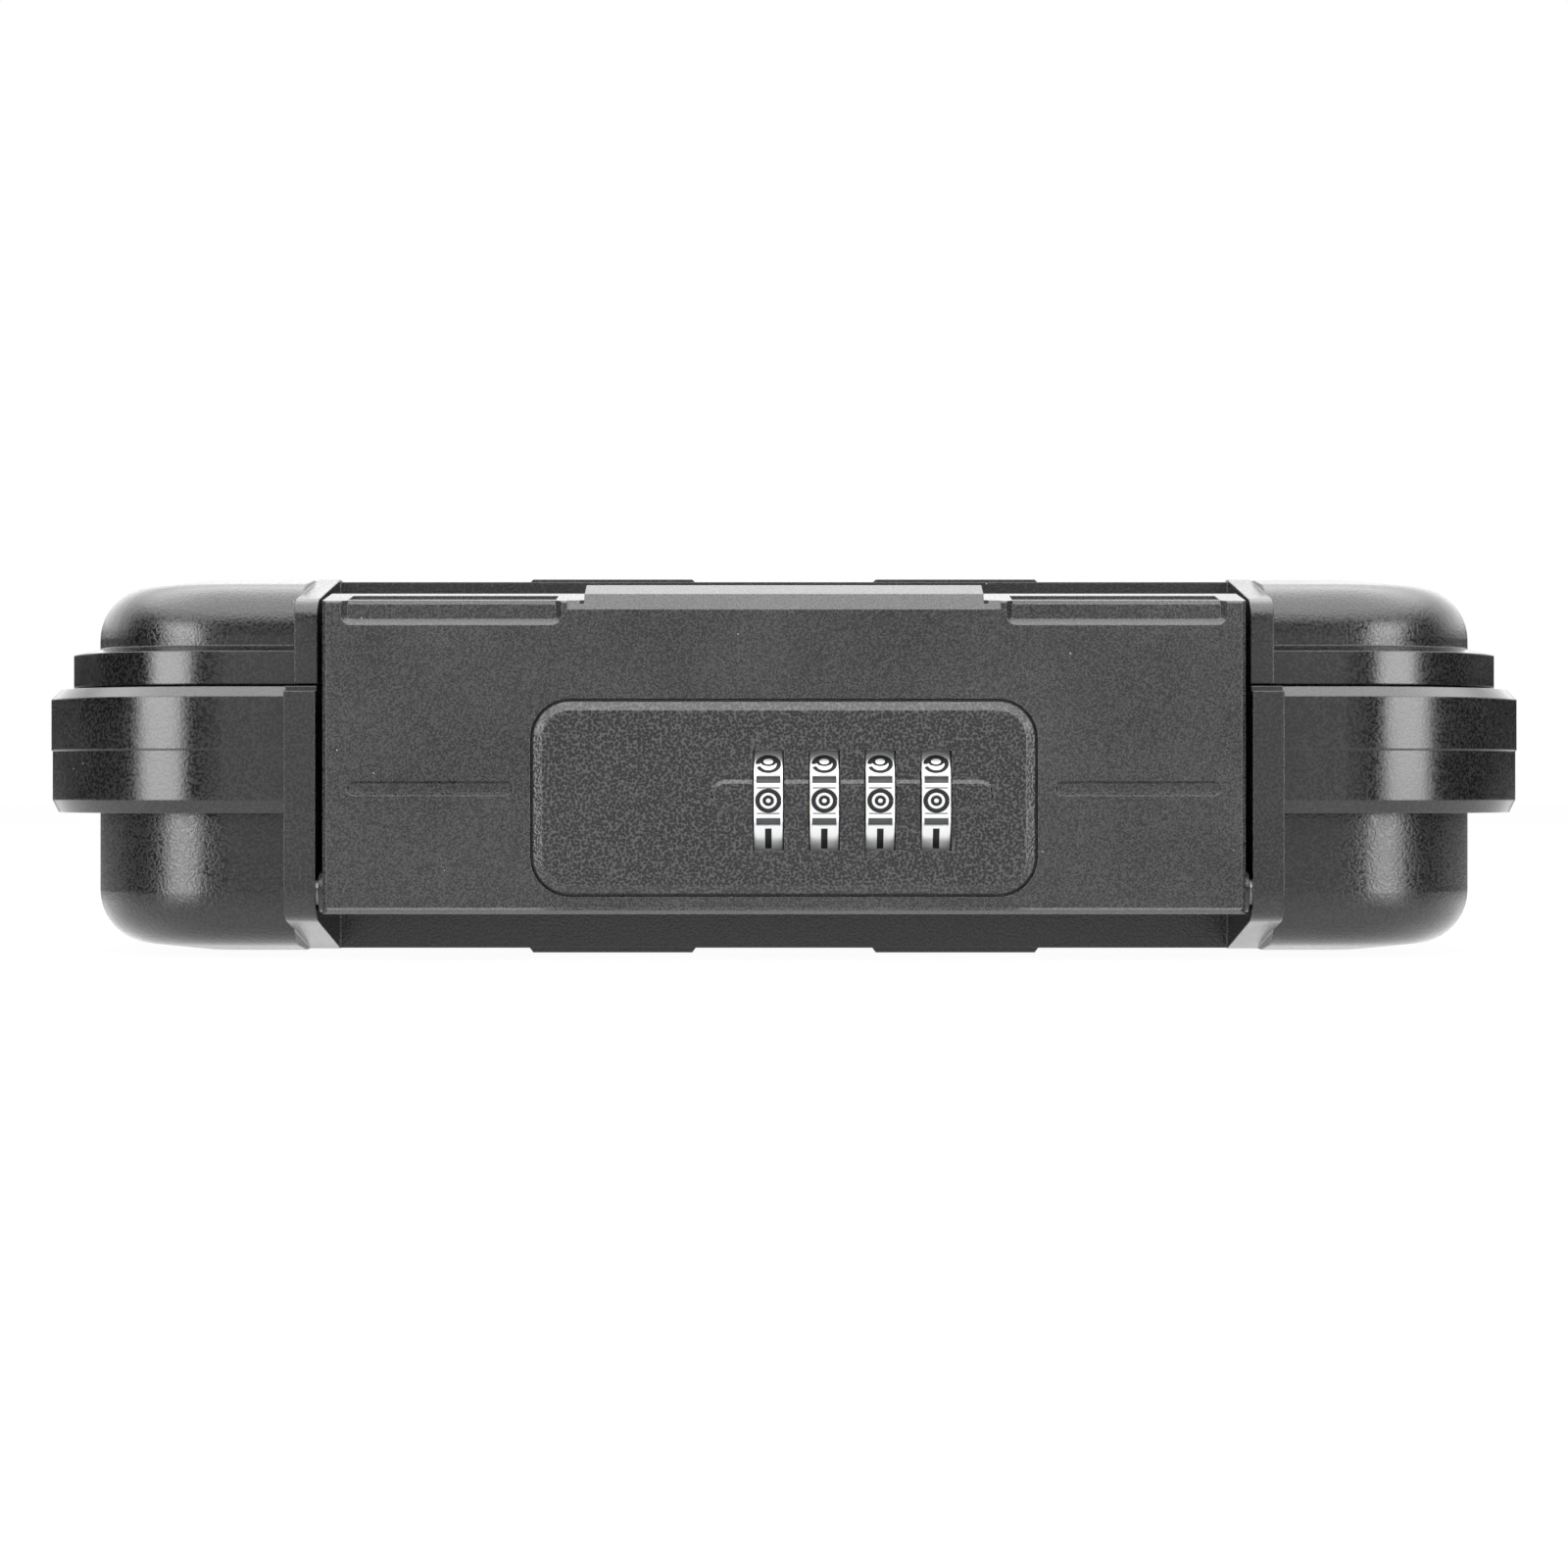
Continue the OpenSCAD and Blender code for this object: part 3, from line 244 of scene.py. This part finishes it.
def foam_sheet(node, body, name, facing, wave):
    """A soft sheet in the place of a CAD liner. Its open side faces up (1) or
    down (-1) and is cut in waves of that height."""
    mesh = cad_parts[node].data.copy()
    bm = bmesh.new()
    bm.from_mesh(mesh)
    bmesh.ops.remove_doubles(bm, verts=bm.verts, dist=1e-6)
    bm.to_mesh(mesh)
    bm.free()
    sheet = bpy.data.objects.new(name, mesh)
    bpy.context.collection.objects.link(sheet)
    remesh = sheet.modifiers.new("cells", "REMESH")
    remesh.mode = "VOXEL"
    remesh.voxel_size = VOXEL
    soften = sheet.modifiers.new("soften", "SMOOTH")
    soften.factor = 0.5
    soften.iterations = 3
    evaluated = sheet.evaluated_get(bpy.context.evaluated_depsgraph_get())
    sheet.data = bpy.data.meshes.new_from_object(evaluated)
    sheet.modifiers.clear()
    low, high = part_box(node)
    back = high.z if facing < 0 else low.z
    thick = high.z - low.z
    for v in sheet.data.vertices:
        share = abs(v.co.z - back)/thick
        hills = math.cos(2*math.pi*v.co.x/WAVE_PITCH)*math.cos(2*math.pi*v.co.y/WAVE_PITCH)
        v.co.z -= facing*share*(wave*(1 - hills)/2 + TRIM)
    sheet.data.polygons.foreach_set("use_smooth", [True]*len(sheet.data.polygons))
    sheet.data.materials.clear()
    sheet.data.materials.append(foam_black)
    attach(sheet, body)
    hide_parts(node)


foam_black = foam("charcoal foam", (0.018, 0.018, 0.019), (0.05, 0.05, 0.052))
foam_sheet("base_liner", "base", "floor_foam", facing=1, wave=0)
foam_sheet("lid_liner", "lid", "lid_foam", facing=-1, wave=2.2*MM)


# The sealing ring is soft black rubber pressed into the lid's groove. Its skin
# is dull and holds a little dust.

def rubber(name):
    f = Finish(name)
    dust = f.noise(1.2*MM, 4, 0.7)
    normal = f.bump(dust, 0.3, 0.05*MM, f.soft_edges(0.3*MM))
    return f.surface(Base_Color=f.blend(dust, grey(0.012), grey(0.03)),
        Roughness=0.62 + dust*0.2, Normal=normal)


paint(rubber("seal rubber"), "lid_gasket")


# Hinge pins, latch pins and the dials' shaft are ground stainless rod; keeper,
# lock frame and lock bar are zinc-plated pressed steel. The screws have a hex socket.

ALONG_X, ALONG_Y, ALONG_Z = range(3)


def ground_steel(name, across):
    """Steel with fine grinding marks that are short along one axis."""
    f = Finish(name)
    stretch = [1, 1, 1]
    stretch[across] = 14
    marks = f.noise(0.8*MM, 4, 0.6, tuple(stretch))
    tarnish = f.noise(6*MM, 3)
    color = f.blend(marks*0.5 + tarnish*0.5, (0.33, 0.335, 0.345), (0.62, 0.63, 0.64))
    normal = f.bump(marks, 0.15, 0.02*MM, f.soft_edges(0.15*MM))
    return f.surface(Base_Color=color, Metallic=1.0, Roughness=0.22 + marks*0.16,
        Normal=normal)


def plated_steel(name):
    """Zinc plate: a spangle of pale crystals under a faint haze."""
    f = Finish(name)
    spangle = f.node("ShaderNodeSeparateColor", {"Color": f.cells(2.4*MM, out="Color")})
    haze = f.noise(3*MM, 4)
    color = f.blend(spangle*0.45 + haze*0.55, (0.40, 0.41, 0.43), (0.68, 0.69, 0.70))
    normal = f.bump(haze, 0.2, 0.03*MM, f.soft_edges(0.2*MM))
    return f.surface(Base_Color=color, Metallic=1.0, Roughness=0.3 + haze*0.18, Normal=normal)


pin_steel = ground_steel("ground pin steel", ALONG_X)
plate_steel = plated_steel("zinc plated steel")
paint(pin_steel, "hinge_pin_left", "hinge_pin_right", "latch_pin_left", "latch_pin_right",
    "dial_shaft", "shaft_clips")
paint(plate_steel, "keeper_plate", "keeper_screws", "back_screws", "lock_chassis",
    "chassis_screws", "lock_bar")


# The latch is one wide hollow cover with a fine spark-eroded grain, closed at
# the rear by a plain plate. Its tab, grip pockets and long beads are moulded in.

latch_plastic = moulded("latch fine grain plastic", dark=grey(0.0),
    light=(0.08, 0.08, 0.081), grain=0.24*MM, depth=0.02*MM, rough=0.22, edge=0.16*MM)
rear_plastic = moulded("latch rear plastic", dark=(0.03, 0.03, 0.031),
    light=(0.042, 0.042, 0.043), grain=0.4*MM, depth=0.03*MM, rough=0.5, edge=0.3*MM)
paint(latch_plastic, "latch_cover")
paint(rear_plastic, "latch_back")


# The lock face is a separate moulding with a coarse sparkling grain, posts that
# hold it in the cover, and a rounded bevel all round.

PIT = 0.42*MM


def spark_grain(name):
    """Dark pits with paler ridges between them."""
    f = Finish(name)
    ridges = f.spread(f.cells(PIT), 0.4, 0.72)
    cloud = f.noise(14*MM, 2)
    color = f.blend(ridges*0.85 + cloud*0.15, grey(0.0), (0.1, 0.1, 0.101))
    normal = f.bump(ridges, 0.6, 0.04*MM, f.soft_edges(0.2*MM))
    return f.surface(Base_Color=color, Roughness=0.2 + ridges*0.1, Normal=normal,
        Specular_IOR_Level=0.45)


paint(spark_grain("lock face spark grain"), "lock_face")


# Each dial is a chromed ten-sided wheel with a pocket between its facets and
# black-filled digits. It sits on a turned brass hub with a notched gate disc.

dial_low, dial_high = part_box("dial_1")
AXIS_Y = (dial_low[1] + dial_high[1])/2
AXIS_Z = 25.0*MM
FACET = 10.2*MM
FACETS = 10
RING_STEPS = 32
PEN_SIDES = 6
PEN_FLAT = 0.25
PEN_LIFT = 0.03*MM
EDGE_FLAT = 0.3
# An arc is drawn this much narrower, because every digit is stretched in width.
ARC_WIDTH = 0.72
# Arcs of the round digits: radius, pen, height, shift up, first angle, sweep.
ROUND_DIGITS = {
    0: ((1.54*MM, 0.33*MM, 1.0, 0.0, 0, 360), (0.58*MM, 0.24*MM, 1.0, 0.0, 0, 360)),
    9: ((1.5*MM, 0.32*MM, 0.95, -0.5*MM, -160, 340), (0.95*MM, 0.25*MM, 0.75, 0.0, 0, 360)),
}
# The 0 also has a thin black line above and below it, painted shadow along the edges of its
# facet.
ZERO_SHADOW_LINE = (2.3*MM, 0.14*MM, 0.1*MM)
ZERO_SHADOW_LINE_UP = 1.95*MM


def from_axis(f):
    """Distance from the dials' axis, in metres."""
    y = f.coordinate(f.place, "Y") - AXIS_Y
    z = f.coordinate(f.place, "Z") - AXIS_Z
    return (y*y + z*z)**0.5


def dial_chrome(name):
    """Bright facets; the pockets between them are painted dark, as painted shade in the
    recesses.
    """
    f = Finish(name)
    smear = f.noise(0.7*MM, 3)
    facet = f.spread(from_axis(f), FACET - 0.24*MM, FACET - 0.08*MM)
    # The near-black pocket colour is painted shade in the recesses between the facets.
    color = f.blend(facet, (0.06, 0.06, 0.061), (0.8, 0.805, 0.815))
    normal = f.bump(smear, 0.08, 0.02*MM, f.soft_edges(0.3*MM))
    return f.surface(Base_Color=color, Metallic=facet*0.4, Roughness=0.26 + smear*0.16,
        Normal=normal)


def turned_brass(name):
    """Brass with the fine rings that a lathe leaves."""
    f = Finish(name)
    rings = f.node("ShaderNodeTexNoise", {"Vector": f.node("ShaderNodeCombineXYZ",
        {"X": from_axis(f)*30}), "Scale": 400.0, "Detail": 2.0})
    tarnish = f.noise(3*MM, 3)
    color = f.blend(rings*0.4 + tarnish*0.6, (0.45, 0.3, 0.1), (0.75, 0.58, 0.27))
    normal = f.bump(rings, 0.1, 0.02*MM, f.soft_edges(0.15*MM))
    return f.surface(Base_Color=color, Metallic=1.0, Roughness=0.25 + tarnish*0.2,
        Normal=normal)


def digit_ink(name):
    """Matt black paint in the digits."""
    f = Finish(name)
    wear = f.noise(0.4*MM, 3)
    return f.surface(Base_Color=f.blend(wear, grey(0.004), grey(0.02)),
        Roughness=0.5 + wear*0.2, Specular_IOR_Level=0.2)


class Grower(Builder):
    """A Geometry Nodes tree with named inputs for its sizes."""

    def __init__(self, name, kinds):
        Builder.__init__(self, bpy.data.node_groups.new(name, "GeometryNodeTree"))
        face = self.tree.interface
        face.new_socket("Geometry", in_out="OUTPUT", socket_type="NodeSocketGeometry")
        self.keys = {n: face.new_socket(n, in_out="INPUT",
            socket_type="NodeSocket" + kind).identifier for n, kind in kinds.items()}
        ways = self.tree.nodes.new("NodeGroupInput")
        self.given = {n: Term(self.tree, ways.outputs[n]) for n in kinds}

    def moved(self, part, **how):
        """A part with a new scale, rotation or translation."""
        names = {name.capitalize(): value for name, value in how.items()}
        return self.node("GeometryNodeTransform", {"Geometry": part, **names})

    def wire(self, curve, radius, sides, caps=False):
        """A round wire of that radius along a curve."""
        ring = self.node("GeometryNodeCurvePrimitiveCircle", {"Resolution": sides,
            "Radius": radius})
        return self.node("GeometryNodeCurveToMesh", {"Curve": curve, "Profile Curve": ring,
            "Fill Caps": caps})

    def joined(self, parts):
        join = self.tree.nodes.new("GeometryNodeJoinGeometry")
        for part in parts:
            self.tree.links.new(part.socket, join.inputs[0])
        return Term(self.tree, join.outputs[0])

    def close(self, part, material):
        solid = self.node("GeometryNodeRealizeInstances", {"Geometry": part})
        done = self.node("GeometryNodeSetMaterial", {"Geometry": solid, "Material": material})
        end = self.tree.nodes.new("NodeGroupOutput")
        self.tree.links.new(done.socket, end.inputs[0])
        return self

    def grow(self, name, values, body):
        """Runs the tree once and keeps its result as a plain mesh."""
        piece = bpy.data.objects.new(name, bpy.data.meshes.new(name))
        bpy.context.collection.objects.link(piece)
        modifier = piece.modifiers.new(name, "NODES")
        modifier.node_group = self.tree
        for key, value in values.items():
            modifier[self.keys[key]] = value
        evaluated = piece.evaluated_get(bpy.context.evaluated_depsgraph_get())
        piece.data = bpy.data.meshes.new_from_object(evaluated)
        piece.modifiers.clear()
        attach(piece, body)
        return piece


def round_digit(b, k):
    """A digit of arcs, drawn with a flat round pen."""
    marks = []
    for radius, pen, tall, up, first, sweep in ROUND_DIGITS[k]:
        arc = b.node("GeometryNodeCurveArc", {"Resolution": RING_STEPS, "Radius": radius,
            "Start Angle": math.radians(first), "Sweep Angle": math.radians(sweep)})
        marks.append(b.moved(b.wire(arc, pen, PEN_SIDES), scale=(ARC_WIDTH, tall, PEN_FLAT),
            translation=(0, up, PEN_LIFT)))
    # The two black lines beside the 0 are painted shadow of its facet's edges.
    if k == 0:
        for up in (-ZERO_SHADOW_LINE_UP, ZERO_SHADOW_LINE_UP):
            line = b.node("GeometryNodeMeshCube", {"Size": ZERO_SHADOW_LINE})
            marks.append(b.moved(line, translation=(0, up, 0)))
    return marks


def plain_digit(b, k):
    """A digit in a plain typeface, filled and rounded at its edge."""
    outline = b.node("GeometryNodeStringToCurves", {"String": str(k),
        "Size": b.given["Height"]}, out="Curve Instances", align_x="CENTER", align_y="MIDDLE")
    outline = b.node("GeometryNodeRealizeInstances", {"Geometry": outline})
    edge = b.wire(outline, b.given["Stroke"], PEN_SIDES)
    fill = b.node("GeometryNodeFillCurve", {"Curve": outline}, mode="NGONS")
    fill = b.node("GeometryNodeExtrudeMesh", {"Mesh": fill, "Offset Scale": b.given["Depth"]})
    return [b.moved(edge, scale=(1, 1, EDGE_FLAT)), fill]


def digit_ring(name, ink):
    """The ten digits of one dial, each on its own facet."""
    b = Grower(name, {n: "Float" for n in ("Middle X", "Axis Y", "Axis Z", "Facet",
        "Height", "Stretch", "Depth", "Stroke")})
    size = b.node("ShaderNodeCombineXYZ", {"X": b.given["Stretch"], "Y": 1.0, "Z": 1.0})
    out = b.node("ShaderNodeCombineXYZ", {"Z": b.given["Facet"]})
    place = b.node("ShaderNodeCombineXYZ", {"X": b.given["Middle X"],
        "Y": b.given["Axis Y"], "Z": b.given["Axis Z"]})
    ring = []
    for k in range(FACETS):
        marks = round_digit(b, k) if k in ROUND_DIGITS else plain_digit(b, k)
        stand = b.moved(b.joined(marks), scale=size, translation=out)
        turn = math.radians(90 + 360/FACETS*k)
        ring.append(b.moved(stand, rotation=(turn, 0, 0), translation=place))
    return b.close(b.joined(ring), ink)


chrome = dial_chrome("dial chrome")
brass = turned_brass("turned brass")
digits = digit_ring("digits of a dial", digit_ink("black digit ink"))
for i in range(1, 5):
    paint(chrome, f"dial_{i}")
    paint(brass, f"dial_hub_{i}")
    low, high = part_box(f"dial_{i}")
    ring = digits.grow(f"digits_{i}", {
        "Middle X": (low[0] + high[0])/2, "Axis Y": AXIS_Y, "Axis Z": AXIS_Z,
        "Facet": FACET - 0.03*MM, "Height": 5.4*MM, "Stretch": 1.5, "Depth": 0.05*MM,
        "Stroke": 0.16*MM}, f"dial_{i}")


# The detent comb, the bar's return spring and the button's spring are bright
# spring steel; the two springs are wound of round wire at an even pitch.

WIRE = 0.3*MM
WIRE_SIDES = 8
STEPS_A_TURN = 20


def coil_spring(name, steel):
    """A coil wound round its own axis, turned and moved to its place."""
    b = Grower(name, {"Turns": "Float", "Radius": "Float", "Length": "Float",
        "Wire": "Float", "Rotation": "Rotation", "Start": "Vector"})
    spiral = b.node("GeometryNodeCurveSpiral", {"Resolution": STEPS_A_TURN,
        "Rotations": b.given["Turns"], "Start Radius": b.given["Radius"],
        "End Radius": b.given["Radius"], "Height": b.given["Length"]})
    coil = b.wire(spiral, b.given["Wire"], WIRE_SIDES, caps=True)
    coil = b.moved(coil, rotation=b.given["Rotation"], translation=b.given["Start"])
    return b.close(b.node("GeometryNodeSetShadeSmooth", {"Geometry": coil}), steel)


spring_steel = ground_steel("spring steel", ALONG_Z)
paint(spring_steel, "detent_comb")
coil = coil_spring("wound coil", spring_steel)
for node, along, turn, turns in (("bar_spring", ALONG_X, (0, math.pi/2, 0), 9.0),
        ("button_spring", ALONG_Y, (-math.pi/2, 0, 0), 4.0)):
    low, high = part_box(node)
    start = [(a + b)/2 for a, b in zip(low, high)]
    start[along] = low[along] + WIRE
    across = (along + 1) % 3
    spring = coil.grow(node + "_wound", {
        "Turns": turns, "Radius": (high[across] - low[across])/2 - WIRE,
        "Length": high[along] - low[along] - 2*WIRE, "Wire": WIRE,
        "Rotation": turn, "Start": start}, "latch")
    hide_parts(node)


# The code-change button is a smooth black pin in the latch's rear face. It is
# moulded in one piece and slides against its spring.

button_plastic = moulded("black button plastic", dark=grey(0.008), light=grey(0.016),
    grain=0.5*MM, depth=0.02*MM, rough=0.3, edge=0.3*MM)
paint(button_plastic, "code_button")


# The photograph is taken straight on from in front, on a white sweep with soft
# light from above and from both sides.

LENS = 83.8
SENSOR = 36.0
CAMERA_PLACE = (0, -0.6480, 0.02755)
FLOOR_HALF = 4.0
GLOW_MIDDLE = (0, -0.2, 0)
FADE_START, FADE_END = 0.28, 0.5
FLOOR_SEEN = 0.53
FLOOR_GLOW = 1.8
ROOM_LIGHT = 0.22

lens = bpy.data.cameras.new("camera")
camera = bpy.data.objects.new("camera", lens)
bpy.context.collection.objects.link(camera)
lens.sensor_width = SENSOR
lens.lens = LENS
lens.clip_start = 0.01
lens.clip_end = 20.0
camera.location = CAMERA_PLACE
camera.rotation_euler = (math.radians(90), 0, 0)
bpy.context.scene.camera = camera


def seen_directly(b):
    """1 for the camera, and for what metal and glass show of the surroundings."""
    kinds = ("Is Camera Ray", "Is Glossy Ray", "Is Transmission Ray")
    return sum((b.ray(kind) for kind in kinds), 0) > 0.5


def sweep():
    """The pale floor: near white, but it still takes the box's soft shadow.
    In a reflection it is bright just in front of the box and fades out around."""
    f = Finish("pale floor")
    base = f.blend(f.noise(40*MM, 3), grey(0.86), grey(0.9))
    matt = f.node("ShaderNodeBsdfDiffuse", {"Color": base})
    away = f.node("ShaderNodeVectorMath", {0: f.place, 1: GLOW_MIDDLE}, out=1,
        operation="DISTANCE")
    fade = f.node("ShaderNodeMapRange", {"Value": away, "From Min": FADE_START,
        "From Max": FADE_END, "To Min": 0.0, "To Max": 1.0}, interpolation_type="SMOOTHSTEP")
    eye = f.ray("Is Camera Ray")
    light = f.blend(eye, f.blend(fade, grey(0.85), grey(0.08)), grey(FLOOR_SEEN))
    glow = f.node("ShaderNodeEmission", {"Color": light, "Strength": FLOOR_GLOW})
    pale = f.node("ShaderNodeBsdfDiffuse", {"Color": (*grey(0.16), 1)})
    both = f.node("ShaderNodeAddShader", {0: pale, 1: glow})
    shine = f.node("ShaderNodeBsdfGlossy", {"Color": (*grey(0.9), 1), "Roughness": 0.12})
    grazing = f.node("ShaderNodeFresnel", {"IOR": 1.4})*(1 - eye)
    both = f.node("ShaderNodeMixShader", {0: grazing, 1: both, 2: shine})
    return f.done(f.node("ShaderNodeMixShader", {0: seen_directly(f), 1: matt, 2: both}))


bm = bmesh.new()
bmesh.ops.create_grid(bm, x_segments=8, y_segments=8, size=FLOOR_HALF)
floor_mesh = bpy.data.meshes.new("floor")
bm.to_mesh(floor_mesh)
bm.free()
floor = bpy.data.objects.new("floor", floor_mesh)
bpy.context.collection.objects.link(floor)
floor_mesh.materials.append(sweep())

world = bpy.data.worlds.new("white room")
world.use_nodes = True
bpy.context.scene.world = world
room = Builder(world.node_tree)
world.node_tree.nodes.clear()


def wall(toward, start, end, low, high):
    """Grows smoothly from low to high as toward goes from start to end."""
    return room.node("ShaderNodeMapRange", {"Value": toward, "From Min": start,
        "From Max": end, "To Min": low, "To Max": high}, interpolation_type="SMOOTHSTEP")


# What the glossy plastic mirrors: a pale backdrop behind, a field in front that
# brightens straight ahead, a soft window at each side and a wide one overhead.
# back, front, up and sideways reach 1 for a ray that points straight that way.
way = room.node("ShaderNodeTexCoord", out="Generated")
back = room.coordinate(way, "Y")
front = back*-1
up = room.coordinate(way, "Z")
sideways = room.coordinate(way, "X")
sideways = sideways.math("ABSOLUTE", sideways)
shine = wall(back, -0.1, 0.5, 0.0, 2.0)*wall(up, 0.02, 0.2, 0.0, 1.0)
ahead = wall(front, 0.92, 0.995, 0.12, 1.4)*wall(front, 0.7, 0.9, 0.0, 1.0)
windows = wall(sideways, 0.46, 0.58, 0.0, 11.0)*wall(sideways, 0.8, 0.9, 1.0, 0.0)
windows = windows*wall(front, 0.1, 0.3, 0.0, 1.0)*wall(up, 0.3, 0.6, 1.0, 0.0)
overhead = wall(up, 0.40, 0.80, 0.03, 5.2)
for light in (ahead, windows, overhead):
    shine = shine.math("MAXIMUM", shine, light)
level = room.ray("Is Glossy Ray")*(shine - ROOM_LIGHT) + ROOM_LIGHT
soft = room.node("ShaderNodeBackground", {"Color": (1, 1, 1, 1), "Strength": level})
white = room.node("ShaderNodeBackground", {"Color": (1, 1, 1, 1), "Strength": 1.0})
shown = room.node("ShaderNodeMixShader", {0: room.ray("Is Camera Ray"), 1: soft, 2: white})
plug(room.tree, room.tree.nodes.new("ShaderNodeOutputWorld").inputs[0], shown)


def softbox(name, place, aim, width, height, watts):
    """A large soft lamp at place, turned to face aim."""
    lamp = bpy.data.lights.new(name, "AREA")
    lamp.shape = "RECTANGLE"
    lamp.size = width
    lamp.size_y = height
    lamp.energy = watts
    holder = bpy.data.objects.new(name, lamp)
    bpy.context.collection.objects.link(holder)
    holder.location = place
    holder.visible_glossy = False
    holder.rotation_euler = (Vector(aim) - Vector(place)).to_track_quat("-Z", "Y").to_euler()


softbox("top light", (0, -0.42, 0.95), (0, -0.08, 0.03), width=0.8, height=0.9, watts=6.4)
for side, name in ((-1, "left light"), (1, "right light")):
    softbox(name, (side*0.80, -0.85, 0.22), (side*0.10, -0.06, 0.03), width=0.45, height=0.9,
        watts=4.6)

bpy.context.scene.view_settings.view_transform = "Standard"
